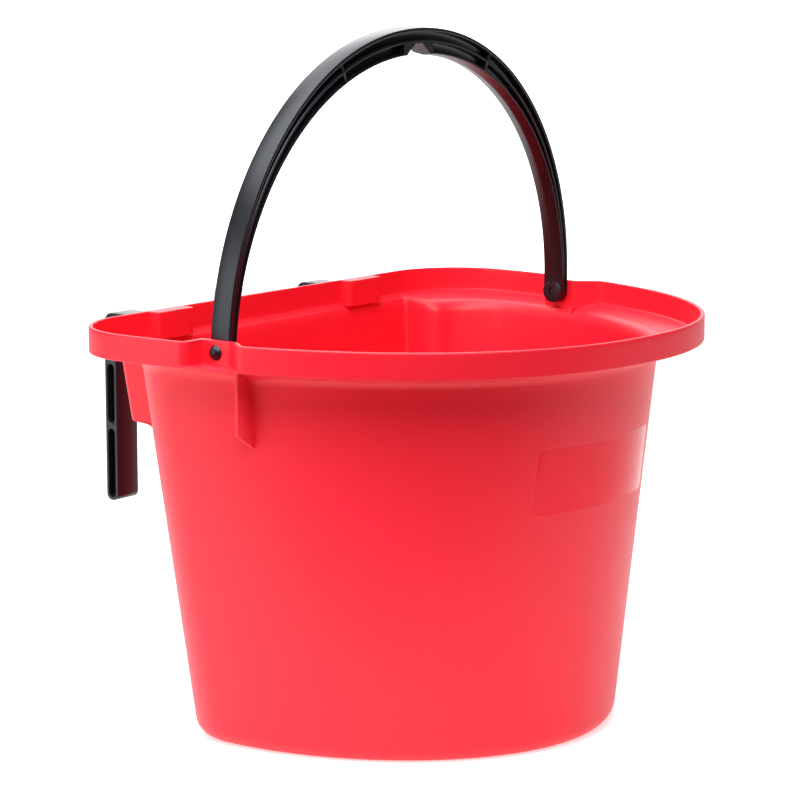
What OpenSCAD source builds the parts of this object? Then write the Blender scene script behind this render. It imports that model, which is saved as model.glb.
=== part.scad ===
// Portable feed bucket that hangs on a rail: a D-shaped moulded tub with a flat back,
// a swinging bail handle on two studs, and two moulded hooks plugged into its back band.
// The origin is on the floor under the handle's pivot line. +X is along the pivot line,
// +Y points to the back, where the hooks are, and +Z is up. Millimetres throughout.

/* [Rim] */
// Half of the width across the rim
rim_half_w = 212; // [170:1:250]
// Distance from the pivot line to the front of the rim
rim_front = 207.5; // [180:1:250]
// Distance from the pivot line to the flat back of the rim
rim_back = 126; // [110:1:150]
// Plan radius of the two back corners of the rim
rim_corner_r = 59; // [35:1:80]
// Squareness of the rim's front curve: 2 is an ellipse
rim_square = 2.2; // [2:0.05:2.6]
// Height of the rim's top above the floor
rim_h = 281.5; // [230:1:340]
// Height of the upright band round the rim
band_h = 17.5; // [14:0.5:24]

/* [Body] */
// Half of the body's width, measured at the rim's height
body_half_w = 191.5; // [150:1:200]
// Distance from the pivot line to the body's front, measured at the rim's height
body_front = 183; // [150:1:190]
// Distance from the pivot line to the body's back, measured at the rim's height
body_back = 95.5; // [80:1:105]
// Half of the body's width at the floor
base_half_w = 154; // [120:1:175]
// Distance from the pivot line to the body's front at the floor
base_front = 153; // [120:1:170]
// Distance from the pivot line to the body's back at the floor
base_back = 79; // [60:1:90]
// Plan radius of the body's back corners
body_corner_r = 48; // [25:1:60]
// Squareness of the body's front curve: 2 is an ellipse
body_square = 1.96; // [1.8:0.02:2.4]
// Wall thickness of the moulding
wall = 2.8; // [2:0.1:4]
// Thickness of the floor
floor_t = 3.2; // [2.4:0.1:5]
// Outside radius between wall and floor
foot_r = 11; // [6:0.5:20]
// Height of the rounded mouth, where the wall turns out into the shoulder
mouth_h = 9; // [5:0.5:12]

/* [Back box] */
// Half of the width of the box behind the body, at the band
box_half_w = 157.5; // [130:0.5:170]
// Distance from the pivot line to the box's back face, at the band
box_back = 119.5; // [108:0.5:122]
// Height of the box below the band
box_h = 52; // [35:1:70]
// How far each side and the back lean in over the box's height
box_lean = 5.5; // [2:0.5:9]
// Radius between the box's underside and the body
box_fillet = 11; // [6:0.5:14]
// Plan radius of the box's two back corners
box_corner_r = 6; // [3:0.5:12]

/* [Side ribs] */
// Thickness of each side rib
rib_t = 3; // [2:0.5:5]
// Distance of each rib in front of the pivot line
rib_y = 16; // [15:0.5:24]
// Height of the rib's straight outer edge below the band
rib_straight = 43; // [20:1:60]
// Height of the slanted end below that
rib_slant = 11.5; // [8:0.5:20]

/* [Pivot] */
// Height of the pivot line below the rim's top
pivot_drop = 8; // [7:0.5:9]
// Thickness of the wall that holds the stud
pivot_wall = 3; // [2:0.1:5]
// Half of the width of the recess that the stud's head sits in
recess_half_w = 10.5; // [8:0.5:14]
// Height of the ledge under the recess, above the band's lower edge
recess_ledge = 2; // [1:0.5:4]
// Length over which the recess's front side slopes out to the band
recess_slope = 20; // [10:1:28]

/* [Handle] */
// Half of the handle's outer width at the pivot
handle_half_w = 188; // [150:0.2:195]
// Height of the handle's top above the pivot line
handle_h = 199.6; // [150:0.1:203]
// Squareness of the handle's curve: 2 is an ellipse
handle_square = 2.06; // [2:0.02:2.4]
// Angle that the handle leans forward from upright, held there by friction in its pivots
handle_lean = 2.5; // [-5:0.5:5]
// Width of the handle, front to back
handle_w = 16.2; // [12:0.1:17]
// Depth of the handle's section at its ends
leg_t = 8.7; // [7:0.1:12]
// Depth of the handle's section at its top
crown_t = 18.9; // [12:0.1:22]
// How the section deepens towards the top: 1 is evenly with height, more is later
handle_swell = 1.5; // [1:0.1:3]
// Thickness of the outer and the inner flange
flange_t = 2.6; // [1.8:0.1:3.5]
// Thickness of the web between the flanges
web_t = 2.4; // [1.8:0.1:3.5]
// Thickness of the middle rib
middle_rib_t = 2; // [1.4:0.1:3]
// Depth of the middle rib below the outer face, as a share of the section's depth
middle_share = 0.48; // [0.35:0.01:0.6]
// How far the middle rib and the cross ribs stop short of the flanges' edges
rib_setback = 0.5; // [0:0.1:1.5]
// Angle from one end of the handle to its first cross rib
cross_rib_a = 64.5; // [40:0.5:75]
// Half of the width of the hanging notch's mouth, in the inner flange
notch_half = 13.8; // [9:0.2:20]
// Half of the width of the notch's flat top
notch_flat = 3.45; // [2:0.05:6]
// Depth of the hanging notch
notch_depth = 8.6; // [5:0.2:9]
// Thickness of the notch's two sloping walls
notch_wall = 2.2; // [1.6:0.1:3.5]

/* [Studs] */
// Radius of the stud's shank
stud_r = 3; // [2:0.1:4]
// Running clearance between the shank and the tub's bore, on the radius
stud_clearance = 0.06; // [0.02:0.01:0.1]
// Radius of the stud's domed head
head_r = 5; // [4:0.1:7]
// Height of the dome
head_h = 3.4; // [2:0.1:4.5]

/* [Hooks] */
// Distance of each hook's middle from the middle of the tub
hook_x = 103.5; // [60:0.5:115]
// Width of a hook
hook_w = 20.7; // [14:0.1:26]
// Distance from the pivot line to the hook's outer back face
hook_back = 171.7; // [150:0.5:190]
// Thickness of the hook's long leg
hook_leg_t = 10.6; // [8:0.1:14]
// Height of the hook's top below the rim's top
hook_drop = 5.5; // [3:0.5:7]
// Height of the hook's arm
hook_arm_h = 9.5; // [6:0.5:10]
// Length of the hook's long leg, from its top
hook_leg = 132; // [80:1:180]
// Length of the short leg behind the band, from the hook's top
hook_tongue = 50; // [30:1:60]
// Clearance round the hook in its pocket
hook_clearance = 0.3; // [0.1:0.05:0.6]
// Web thickness between the hook's side pockets
hook_web = 3; // [2:0.1:5]
// Outer radius at the hook's top corner
hook_top_r = 7; // [4:0.5:9]
// Radius of the corners at the foot of the hook's long leg
hook_foot_r = 4.6; // [3:0.1:5]

/* [Hidden] */

$fn = 64;
red = [0.93, 0.16, 0.2];
black = [0.1, 0.1, 0.12];
eps = 0.01;

// Points along each half of a plan outline
back_steps = 3;
corner_steps = 7;
front_steps = 22;
// Steps in a rounded profile, and in the straight wall
round_steps = 5;
wall_steps = 3;

band_bottom = rim_h - band_h;
ledge_z = band_bottom + 1;
rim_edge_r = 1.2;
floor_r = foot_r - wall;
// The wall starts to turn outwards at this height, on its outer side
mouth_z = band_bottom - mouth_h - 2.5;
// Share of the shoulder's width that the rounded mouth takes
mouth_share = 0.32;
cut_top = rim_h + 6;

pivot_z = rim_h - pivot_drop;
pivot_plane = handle_half_w + 0.5;
head_plane = pivot_plane + pivot_wall;
block_half_w = recess_half_w + pivot_wall;

hook_top = rim_h - hook_drop;
hook_arm_bottom = hook_top - hook_arm_h;
// Front face of the short leg: just behind the box's back face
tongue_front = box_back + 0.7;
// Front face of the tenon inside the band, and the pocket wall in front of it
tenon_front = box_back - 3.2;
boss_front = tenon_front - wall - hook_clearance;
boss_half_w = hook_w / 2 + 8.6;

function mix(a, b, t) = a + (b - a) * t;

// Half of a D-shaped outline, from the middle of its straight back to its front tip.
// corner is the plan radius at the back, where the side also hands over to the front curve.
function half_outline(half_w, front, back, corner, square) = let(yc = back - corner) concat(
    [for (i = [0 : back_steps - 1]) [(half_w - corner) * i / back_steps, back]],
    [for (i = [0 : corner_steps - 1]) let(a = 90 * i / corner_steps)
        [half_w - corner + corner * sin(a), yc + corner * cos(a)]],
    [for (i = [0 : front_steps]) let(a = 90 * i / front_steps)
        [half_w * pow(cos(a), 2 / square), yc - (front + yc) * pow(sin(a), 2 / square)]]);

// The whole outline, clockwise seen from above
function mirrored(half) = concat(half, [for (i = [len(half) - 2 : -1 : 1]) [-half[i][0], half[i][1]]]);

function rim_outline(inset) = mirrored(half_outline(rim_half_w - inset, rim_front - inset,
    rim_back - inset, rim_corner_r - inset, rim_square));

// The body's outline at height z, set in by inset
function body_outline(z, inset) = let(t = z / rim_h) mirrored(half_outline(
    mix(base_half_w, body_half_w, t) - inset,
    mix(base_front, body_front, t) - inset,
    mix(base_back, body_back, t) - inset,
    body_corner_r - inset, body_square));

// The body's half width at distance ahead in front of the pivot line, at height z
function body_half_at(ahead, z) = let(
    t = z / rim_h,
    half_w = mix(base_half_w, body_half_w, t),
    front = mix(base_front, body_front, t),
    yc = mix(base_back, body_back, t) - body_corner_r)
    half_w * pow(1 - pow((yc + ahead) / (front + yc), body_square), 1 / body_square);

// A ring of the shoulder: share 0 is the body's outline and share 1 is the rim's
function shoulder_ring(share, z, inset) = [z, [for (i = [0 : len(rim_outline(0)) - 1])
    mix(body_outline(z, inset)[i], rim_outline(inset)[i], share)]];

// Rings of a rounded foot of radius r that stands at height z
function foot_rings(z, r, inset) = [for (i = [0 : round_steps]) let(a = 90 * i / round_steps)
    [z + r * (1 - cos(a)), body_outline(z + r * (1 - cos(a)), inset + r * (1 - sin(a)))]];

function wall_rings(low, high, inset) = [for (i = [1 : wall_steps - 1])
    let(z = mix(low, high, i / wall_steps)) [z, body_outline(z, inset)]];

// The mouth turns out through a quarter of an oval, and the shoulder rises on to the band
function shoulder_rings(z, top, inset) = concat(
    [for (i = [0 : round_steps]) let(a = 90 * i / round_steps)
        shoulder_ring(mouth_share * (1 - cos(a)), z + mouth_h * sin(a), inset)],
    [[top, rim_outline(inset)]]);

// Closed solid through a list of [height, outline] rings. The end caps fan out from the
// outline's far side, because its first points lie in one straight line.
module loft(rings) {
    n = len(rings[0][1]);
    far = floor(n / 2);
    last = len(rings) - 1;
    points = [for (ring = rings) for (p = ring[1]) [p[0], p[1], ring[0]]];
    sides = [for (k = [0 : last - 1]) for (j = [0 : n - 1]) let(
        a = k * n + j,
        b = k * n + (j + 1) % n)
        each [[a, b, b + n], [a, b + n, a + n]]];
    bottom = [for (j = [n : -1 : 1]) (j + far) % n];
    top = [for (j = [0 : n - 1]) last * n + (j + far) % n];
    polyhedron(points, concat([bottom], sides, [top]), convexity = 6);
}

// Everything inside the tub's outer skin
module outer_form() {
    loft(concat(
        foot_rings(0, foot_r, 0),
        wall_rings(foot_r, mouth_z, 0),
        shoulder_rings(mouth_z, band_bottom, 0),
        [[rim_h - rim_edge_r, rim_outline(0)], [rim_h, rim_outline(rim_edge_r)]]));
}

// The hollow of the tub
module inner_form() {
    loft(concat(
        foot_rings(floor_t, floor_r, wall),
        wall_rings(floor_t + floor_r, mouth_z + wall, wall),
        shoulder_rings(mouth_z, ledge_z, wall),
        [[cut_top, rim_outline(wall)]]));
}

// Plan outline of the back box, clockwise from above. Its front side lies inside the body.
function box_outline(half_w, back, corner) = let(front = base_back - body_corner_r) concat(
    [[-half_w, front]],
    [for (i = [0 : round_steps]) let(a = 90 * i / round_steps)
        [-half_w + corner * (1 - cos(a)), back - corner * (1 - sin(a))]],
    [for (i = [0 : round_steps]) let(a = 90 - 90 * i / round_steps)
        [half_w - corner * (1 - cos(a)), back - corner * (1 - sin(a))]],
    [[half_w, front]]);

// The box leans in downwards, and its underside curves into the body's back wall
module box_form(inset, top) {
    low_z = band_bottom - box_h + inset;
    low_half_w = box_half_w - box_lean - inset;
    wall_y = mix(base_back, body_back, low_z / rim_h) - inset;
    fillet = box_fillet + inset;
    corner = box_corner_r - inset;
    loft(concat(
        [for (i = [round_steps : -1 : 0]) let(a = 90 * i / round_steps)
            [low_z - fillet + fillet * cos(a),
                box_outline(low_half_w, wall_y + fillet - fillet * sin(a), corner)]],
        [[low_z + eps, box_outline(low_half_w, box_back - box_lean - inset, corner)],
            [top, box_outline(box_half_w - inset, box_back - inset, corner)]]));
}

// A gusset under the shoulder that props the pivot's wall, thin along Y
module side_rib(side) {
    edge = head_plane - 1;
    top = band_bottom - 1;
    mid = band_bottom - rib_straight;
    low = mid - rib_slant;
    root = wall / 2;
    translate([0, -rib_y + rib_t / 2, 0])
        rotate([90, 0, 0])
            linear_extrude(rib_t)
                polygon([
                    [side * edge, top],
                    [side * edge, mid],
                    [side * (body_half_at(rib_y, low) - root), low],
                    [side * (body_half_at(rib_y, top) - root), top]]);
}

// The pocket wall that stands inside the band in front of a hook's tenon
module hook_boss(side) {
    translate([side * hook_x - boss_half_w, boss_front, band_bottom - 2])
        cube([2 * boss_half_w, rim_back - wall / 2 - boss_front, band_h + 2]);
}

// The opening that a hook plugs into: a pocket in the band, open at the back and below
module hook_pocket(side) {
    half_w = hook_w / 2 + hook_clearance;
    translate([side * hook_x - half_w, tenon_front - hook_clearance, ledge_z])
        cube([2 * half_w, rim_back, hook_top - ledge_z]);
    translate([side * hook_x - half_w, tongue_front - hook_clearance, mouth_z])
        cube([2 * half_w, rim_back, hook_top - mouth_z]);
}

// Plan of the pivot's jog beside the band: steep at the back, and sloping out in front
module jog_plan(side, plane, half_w, reach) {
    slope = recess_slope / (rim_half_w - wall - pivot_plane);
    polygon([
        [side * plane, half_w],
        [side * reach, half_w],
        [side * reach, -half_w - slope * (reach - plane)],
        [side * plane, -half_w]]);
}

// The block inside the band that brings the wall in to the handle's end
module pivot_block(side) {
    intersection() {
        translate([0, 0, mouth_z])
            linear_extrude(rim_h - mouth_z)
                jog_plan(side, pivot_plane, block_half_w, rim_half_w - wall);
        outer_form();
    }
}

// The recess that leaves a flat wall for the stud, and the bore through that wall
module pivot_recess(side) {
    ledge = band_bottom + recess_ledge;
    translate([0, 0, ledge])
        linear_extrude(cut_top - ledge)
            jog_plan(side, head_plane, recess_half_w, rim_half_w + 2);
    translate([side * pivot_plane, 0, pivot_z])
        rotate([0, side * 90, 0])
            translate([0, 0, -1])
                cylinder(r = stud_r + stud_clearance, h = pivot_wall + 2);
}

// One-piece moulded tub
module tub() {
    color(red)
        difference() {
            union() {
                difference() {
                    union() {
                        outer_form();
                        box_form(0, band_bottom);
                        for (side = [-1, 1])
                            side_rib(side);
                    }
                    inner_form();
                    box_form(wall, ledge_z + eps);
                }
                for (side = [-1, 1]) {
                    hook_boss(side);
                    pivot_block(side);
                }
            }
            for (side = [-1, 1]) {
                hook_pocket(side);
                pivot_recess(side);
            }
        }
}

// A point of the handle at angle a, below its outer curve by share of its depth plus extra
function handle_point(a, share, extra) = let(
    rise = sin(a),
    depth = share * mix(leg_t, crown_t, pow(rise, handle_swell)) + extra,
    across = (cos(a) < 0) ? -1 : 1)
    [across * pow(abs(cos(a)), 2 / handle_square) * (handle_half_w - depth),
        pivot_z + pow(rise, 2 / handle_square) * (handle_h - depth)];

handle_steps = 60;

// The strip of the handle's side view between two depths, from angle a0 to angle a1
module handle_strip(share0, extra0, share1, extra1, a0 = 0, a1 = 180) {
    steps = ceil(handle_steps * (a1 - a0) / 180);
    polygon(concat(
        [for (i = [0 : steps]) handle_point(mix(a0, a1, i / steps), share0, extra0)],
        [for (i = [steps : -1 : 0]) handle_point(mix(a0, a1, i / steps), share1, extra1)]));
}

// Stands a side view up in the XZ plane and gives it a thickness, centred on Y
module upright(thickness) {
    translate([0, thickness / 2, 0])
        rotate([90, 0, 0])
            linear_extrude(thickness)
                children();
}

// Side view of the hanging notch: a flat top and two sloping sides that open downwards.
// It is drawn on below the handle's inner face, and grow makes it larger all round.
module notch_side(grow) {
    below = 2;
    slope = (notch_half - notch_flat) / notch_depth;
    low = handle_h - crown_t - below;
    high = handle_h - crown_t + notch_depth + grow;
    flat = notch_flat + grow;
    open = notch_half + below * slope + grow * sqrt(1 + slope * slope);
    translate([0, pivot_z])
        polygon([[-flat, high], [flat, high], [open, low], [-open, low]]);
}

// Leans what is modelled upright about the pivot line
module lean_forward() {
    translate([0, 0, pivot_z])
        rotate([handle_lean, 0, 0])
            translate([0, 0, -pivot_z])
                children();
}

// Bail handle: outer and inner flange, web, middle rib, cross ribs and two solid ends
module handle() {
    // Half of a cross rib's thickness, as an angle
    rib_half_a = 0.35;
    rib_w = handle_w - 2 * rib_setback;
    color(black)
        lean_forward()
            difference() {
                union() {
                    upright(web_t)
                        handle_strip(0, 1, 1, -1);
                    upright(handle_w)
                        handle_strip(0, 0, 0, flange_t);
                    upright(handle_w)
                        handle_strip(1, -flange_t, 1, 0);
                    upright(rib_w)
                        handle_strip(middle_share, -middle_rib_t / 2, middle_share, middle_rib_t / 2);
                    upright(handle_w)
                        intersection() {
                            notch_side(notch_wall);
                            handle_strip(0, 1, 1, 0, cross_rib_a, 180 - cross_rib_a);
                        }
                    for (side = [-1, 1])
                        translate([side * handle_half_w, 0, pivot_z])
                            rotate([0, -side * 90, 0])
                                cylinder(r = handle_w / 2, h = leg_t);
                    for (a = [cross_rib_a, 180 - cross_rib_a])
                        upright(rib_w)
                            handle_strip(0, 1, 1, -1, a - rib_half_a, a + rib_half_a);
                }
                upright(handle_w + 2)
                    notch_side(0);
                for (side = [-1, 1])
                    translate([side * (handle_half_w + 1), 0, pivot_z])
                        rotate([0, -side * 90, 0])
                            cylinder(r = stud_r, h = leg_t + 2);
            }
}

// Domed stud: its head bears on the tub's flat wall and its shank is pressed into the handle
module stud(side) {
    gap = 0.2;
    shank = pivot_wall + 0.5 + gap + leg_t - 1;
    dome_r = (head_r * head_r + head_h * head_h) / (2 * head_h);
    dome_a = asin(head_r / dome_r);
    color(black)
        translate([side * (head_plane + gap), 0, pivot_z])
            rotate([0, side * 90, 0])
                rotate_extrude()
                    polygon(concat(
                        [[0, -shank], [stud_r - 0.5, -shank], [stud_r, -shank + 0.5], [stud_r, 0], [head_r, 0]],
                        [for (i = [1 : 8]) let(a = dome_a * (1 - i / 8))
                            [dome_r * sin(a), head_h - dome_r * (1 - cos(a))]]));
}

// Points of an arc from angle a0 to a1
function arc(x, y, r, a0, a1) = [for (i = [0 : round_steps]) let(a = mix(a0, a1, i / round_steps))
    [x + r * cos(a), y + r * sin(a)]];

// Side view of a hook, with Y across and Z up
module hook_side() {
    foot = hook_top - hook_leg;
    leg_front = hook_back - hook_leg_t;
    inner_r = 3;
    polygon(concat(
        [[tenon_front, hook_top], [tenon_front, ledge_z + hook_clearance],
            [tongue_front, ledge_z + hook_clearance], [tongue_front, hook_top - hook_tongue],
            [rim_back, hook_top - hook_tongue], [rim_back, hook_arm_bottom]],
        arc(leg_front - inner_r, hook_arm_bottom - inner_r, inner_r, 90, 0),
        arc(leg_front + hook_foot_r, foot + hook_foot_r, hook_foot_r, 180, 270),
        arc(hook_back - hook_foot_r, foot + hook_foot_r, hook_foot_r, -90, 0),
        arc(hook_back - hook_top_r, hook_top - hook_top_r, hook_top_r, 0, 90)));
}

// A side pocket of a hook: a slot with round ends between two heights
module leg_pocket(low, high) {
    rim = 2.2;
    half = hook_leg_t / 2 - rim;
    mid = hook_back - hook_leg_t / 2;
    translate([mid, low + half])
        circle(half);
    translate([mid, high - half])
        circle(half);
    translate([mid - half, low + half])
        square([2 * half, high - low - 2 * half]);
}

// Stable-rail hook with an I-shaped section
module hook(side) {
    foot = hook_top - hook_leg;
    bridge = 2;
    rib_z = mix(foot, hook_top, 0.4);
    shoulder_z = mix(foot, hook_top, 0.73);
    color(black)
        translate([side * hook_x - hook_w / 2, 0, 0])
            rotate([90, 0, 90])
                difference() {
                    linear_extrude(hook_w)
                        hook_side();
                    for (start = [-1, (hook_w + hook_web) / 2])
                        translate([0, 0, start])
                            linear_extrude((hook_w - hook_web) / 2 + 1) {
                                leg_pocket(foot + 2.2, rib_z - bridge);
                                leg_pocket(rib_z + bridge, shoulder_z);
                            }
                }
}

module stud_left() stud(-1);
module stud_right() stud(1);
module hook_left() hook(-1);
module hook_right() hook(1);

tub();
handle();
stud_left();
stud_right();
hook_left();
hook_right();
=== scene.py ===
"""Looks of a portable feed bucket: a red moulded tub, a black bail handle on two studs, and
two black rail hooks. Metres in the scene; the sizes below are in millimetres."""
import math

import bmesh
import bpy
from mathutils import Matrix, Vector


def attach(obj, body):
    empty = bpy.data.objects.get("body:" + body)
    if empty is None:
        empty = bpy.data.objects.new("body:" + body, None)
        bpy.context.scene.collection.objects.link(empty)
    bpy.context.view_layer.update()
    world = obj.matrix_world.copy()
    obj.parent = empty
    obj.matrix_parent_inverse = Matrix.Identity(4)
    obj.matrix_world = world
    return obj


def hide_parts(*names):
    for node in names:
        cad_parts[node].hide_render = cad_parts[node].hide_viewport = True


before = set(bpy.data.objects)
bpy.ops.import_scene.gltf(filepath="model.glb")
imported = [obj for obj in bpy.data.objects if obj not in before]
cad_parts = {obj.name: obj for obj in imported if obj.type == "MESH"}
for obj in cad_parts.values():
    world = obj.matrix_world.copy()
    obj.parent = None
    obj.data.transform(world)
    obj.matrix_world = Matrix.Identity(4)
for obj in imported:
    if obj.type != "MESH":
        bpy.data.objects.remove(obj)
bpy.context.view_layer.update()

# ---------------------------------------------------------------------------
# Tub
# The real tub is one injection moulding in red polypropylene: a D-shaped body with a box
# behind it, a shoulder and an upright band. It is grown here ring by ring from a circle,
# from the middle of the outside of the floor, up over the band and down to the inside.
# ---------------------------------------------------------------------------
MM = 0.001

RIM_H = 281.5
BAND_BOTTOM = 264.0
LEDGE_Z = 265.0
WALL = 2.8
FLOOR_T = 3.2
FOOT_R = 11.0
MOUTH_Z = 252.5
MOUTH_H = 9.0
MOUTH_SHARE = 0.32
RIM_HALF_W = 212.0
RIM_FRONT = 207.5
RIM_BACK = 126.0
RIM_CORNER_R = 59.0
RIM_SQUARE = 2.2
BODY_CORNER_R = 48.0
BODY_SQUARE = 1.96
BOX_HALF_W = 157.5
BOX_BACK = 119.5
BOX_H = 52.0
BOX_LEAN = 5.5
BOX_CORNER_R = 6.0
JUNCTION_R = 9.0
UNDERSIDE_R = 11.0
UNDERSIDE_EDGE_R = 1.6
PIVOT_Z = 273.5
PIVOT_PLANE = 188.5
HEAD_PLANE = 191.5
RECESS_HALF_W = 10.5
RECESS_SLOPE = 20.0
PIVOT_REACH = 40.0
BLOCK_HALF_W = 13.5
BOSS_X = 103.5
BOSS_HALF_W = 18.0
BOSS_FRONT = 113.2
BOSS_FOOT_Z = 262.8
BOX_LOW_Z = BAND_BOTTOM - BOX_H
# Half width, front and back of the body's taper, at the floor and at the height of the rim
BODY_AT_FLOOR = (154.0, 153.0, 79.0)
BODY_AT_RIM = (191.5, 183.0, 95.5)
# Where the box's columns begin on the body's corner (how far along X) and on the rim's corner
CORNER_SPLIT = 17.3
RIM_ARC_START = math.radians(20.7)
BACK_COLUMNS = 38
BOX_COLUMNS = 30
CORNER_COLUMNS = 16
FRONT_COLUMNS = 72
# Evenly spaced columns this near to a listed one are left out: millimetres along the back,
# and radians of the angle parameter in front
BACK_SPACING = 1.6
FRONT_SPACING = 0.006
# How far short of a recess's or a boss's side its rounded edge ends
EDGE_STOP = 0.2
# Columns beside the pivot run straight across the shoulder. They are let go over this length,
# and are held in full from this share of the way across.
PIVOT_FADE = 14.0
HOLD_SHARE = 0.15


def mix(a, b, t):
    return a + (b - a) * t


def smooth(t):
    """0 below t = 0, 1 above t = 1, and an S-curve between."""
    t = min(1.0, max(0.0, t))
    return t * t * (3 - 2 * t)


def steps(first, last, count):
    """Evenly spaced values from first up to, but not including, last."""
    return [mix(first, last, i / count) for i in range(count)]


def body_sizes(z, inset):
    """Half width, front, back and back corner radius of the body at height z."""
    half_w, front, back = [mix(low, high, z / RIM_H) - inset
                           for low, high in zip(BODY_AT_FLOOR, BODY_AT_RIM)]
    return half_w, front, back, BODY_CORNER_R - inset


def box_sizes(z, inset):
    """Half width, back and corner radius of the back box at height z."""
    lean = BOX_LEAN * (BAND_BOTTOM - z) / BOX_H
    return BOX_HALF_W - lean - inset, BOX_BACK - lean - inset, BOX_CORNER_R - inset


def junction(z):
    """Centre of the vertical fillet where the box's side meets the body's corner, and the
    angle round the body's corner at which it ends."""
    half_w, front, back, corner = body_sizes(z, 0)
    box_half_w = box_sizes(z, 0)[0]
    reach = corner + JUNCTION_R
    across = box_half_w + JUNCTION_R - (half_w - corner)
    up = math.sqrt(reach * reach - across * across)
    return box_half_w + JUNCTION_R, back - corner + up, math.atan2(across, up)


# Columns of one half of the tub, from the middle of the back round to the front tip. Each
# has a part of the outline that it runs on and a share along that part.
ARC_START = math.asin(CORNER_SPLIT / BODY_CORNER_R)
box_straight = BOX_HALF_W - BOX_CORNER_R
back_stations = set()
# Close together across the rounded sides of each hook's boss
for boss_edge in (-BOSS_HALF_W, BOSS_HALF_W):
    sign = 1 if boss_edge > 0 else -1
    for offset in (0.4, 0.0, -0.35, -0.5, -0.8, -1.3, -2.0, -2.8):
        back_stations.add(BOSS_X + boss_edge + sign * offset)
for x in steps(0, box_straight, BACK_COLUMNS):
    if all(abs(x - other) > BACK_SPACING for other in back_stations):
        back_stations.add(x)
columns = [("back", x / box_straight) for x in sorted(back_stations)]
columns += [("box", t) for t in steps(0, 1, BOX_COLUMNS)]
columns += [("corner", t) for t in steps(0, 1, CORNER_COLUMNS)]


def rim_angle(y):
    """Angle parameter of the rim's front curve at distance y behind the pivot line."""
    yc = RIM_BACK - RIM_CORNER_R
    return math.asin(((yc - y) / (RIM_FRONT + yc)) ** (RIM_SQUARE / 2))


# Close together across the back edges of the pivot's block and recess, then over their slopes
front_stations = set()
for y in (0, 4, 7, 8.2, 9, 9.7, 10.2, 10.5, 10.7, 11.1, 11.8, 12.5, 13.2, 13.5, 14.2, 15.2, 16.4,
          18, 21):
    front_stations.add(rim_angle(y))
for y in steps(3, 36, 22):
    front_stations.add(rim_angle(-y))
for a in steps(0, math.pi / 2, FRONT_COLUMNS):
    if all(abs(a - other) > FRONT_SPACING for other in front_stations):
        front_stations.add(a)
columns += [("front", a) for a in sorted(front_stations)]
columns.append(("front", math.pi / 2))


def front_curve(half_w, front, yc, square, a):
    """A point of the squarish front half of an outline, at angle parameter a."""
    return (half_w * max(0.0, math.cos(a)) ** (2 / square),
            yc - (front + yc) * math.sin(a) ** (2 / square))


def body_point(column, z, inset):
    """The body's outline at height z, an inset inside its outer face."""
    part, t = column
    half_w, front, back, corner = body_sizes(z, inset)
    cx = half_w - corner
    cy = back - corner
    arc_end = junction(max(z, BOX_LOW_Z))[2]
    if part == "back":
        x = t * (cx + corner * math.sin(ARC_START))
        if x <= cx:
            return x, back
        return x, cy + math.sqrt(corner * corner - (x - cx) ** 2)
    if part == "box":
        a = mix(ARC_START, arc_end, t)
        return cx + corner * math.sin(a), cy + corner * math.cos(a)
    if part == "corner":
        a = mix(arc_end, math.pi / 2, t)
        return cx + corner * math.sin(a), cy + corner * math.cos(a)
    return front_curve(half_w, front, cy, BODY_SQUARE, t)


def box_point(column, z, inset):
    """The box's outline where a column belongs to the box, and the body's elsewhere."""
    part, t = column
    half_w, back, corner = box_sizes(z, inset)
    if part == "back":
        return t * (half_w - corner), back
    if part != "box":
        return body_point(column, z, inset)
    centre_x, centre_y, end = junction(z)
    fillet = JUNCTION_R + inset
    turn = math.pi / 2 - end
    lengths = [corner * math.pi / 2, back - corner - centre_y, fillet * turn]
    along = t * sum(lengths)
    if along < lengths[0]:
        a = along / corner
        return half_w - corner + corner * math.sin(a), back - corner + corner * math.cos(a)
    along -= lengths[0]
    if along < lengths[1]:
        return half_w, back - corner - along
    a = (along - lengths[1]) / fillet
    return centre_x - fillet * math.cos(a), centre_y - fillet * math.sin(a)


def rim_point(column, inset):
    """The band's outline, an inset inside its outer face."""
    part, t = column
    half_w = RIM_HALF_W - inset
    corner = RIM_CORNER_R - inset
    cx = half_w - corner
    yc = RIM_BACK - RIM_CORNER_R
    if part == "back":
        return t * box_straight, RIM_BACK - inset
    if part == "front":
        return front_curve(half_w, RIM_FRONT - inset, yc, RIM_SQUARE, t)
    a = t * RIM_ARC_START if part == "box" else mix(RIM_ARC_START, math.pi / 2, t)
    reach = mix(box_straight, cx, min(1.0, 4 * t)) if part == "box" else cx
    return reach + corner * math.sin(a), yc + corner * math.cos(a)


def outer_limit(y, band_x):
    """How far out the band reaches beside the pivot, where a recess holds the stud's head.
    The recess is steep at the back and runs out in an S-curve in front."""
    if y < 0:
        return mix(HEAD_PLANE, band_x, smooth((-y - RECESS_HALF_W) / RECESS_SLOPE))
    if y < RECESS_HALF_W - EDGE_STOP:
        radius = 3.0
        into = max(0.0, y - (RECESS_HALF_W - radius))
        return HEAD_PLANE + radius - math.sqrt(max(0.0, radius * radius - into * into))
    radius = 6.0
    into = max(0.0, RECESS_HALF_W + radius - y)
    return band_x - radius + math.sqrt(max(0.0, radius * radius - into * into))


def inner_limit(y, band_x):
    """How far out the basin reaches beside the pivot, where a block carries the handle."""
    if y < 0:
        return mix(PIVOT_PLANE, band_x, smooth((-y - BLOCK_HALF_W) / RECESS_SLOPE))
    if y > BLOCK_HALF_W - EDGE_STOP:
        return band_x
    radius = 2.6
    into = max(0.0, y - (BLOCK_HALF_W - radius))
    return PIVOT_PLANE + radius - math.sqrt(max(0.0, radius * radius - into * into))


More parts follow.
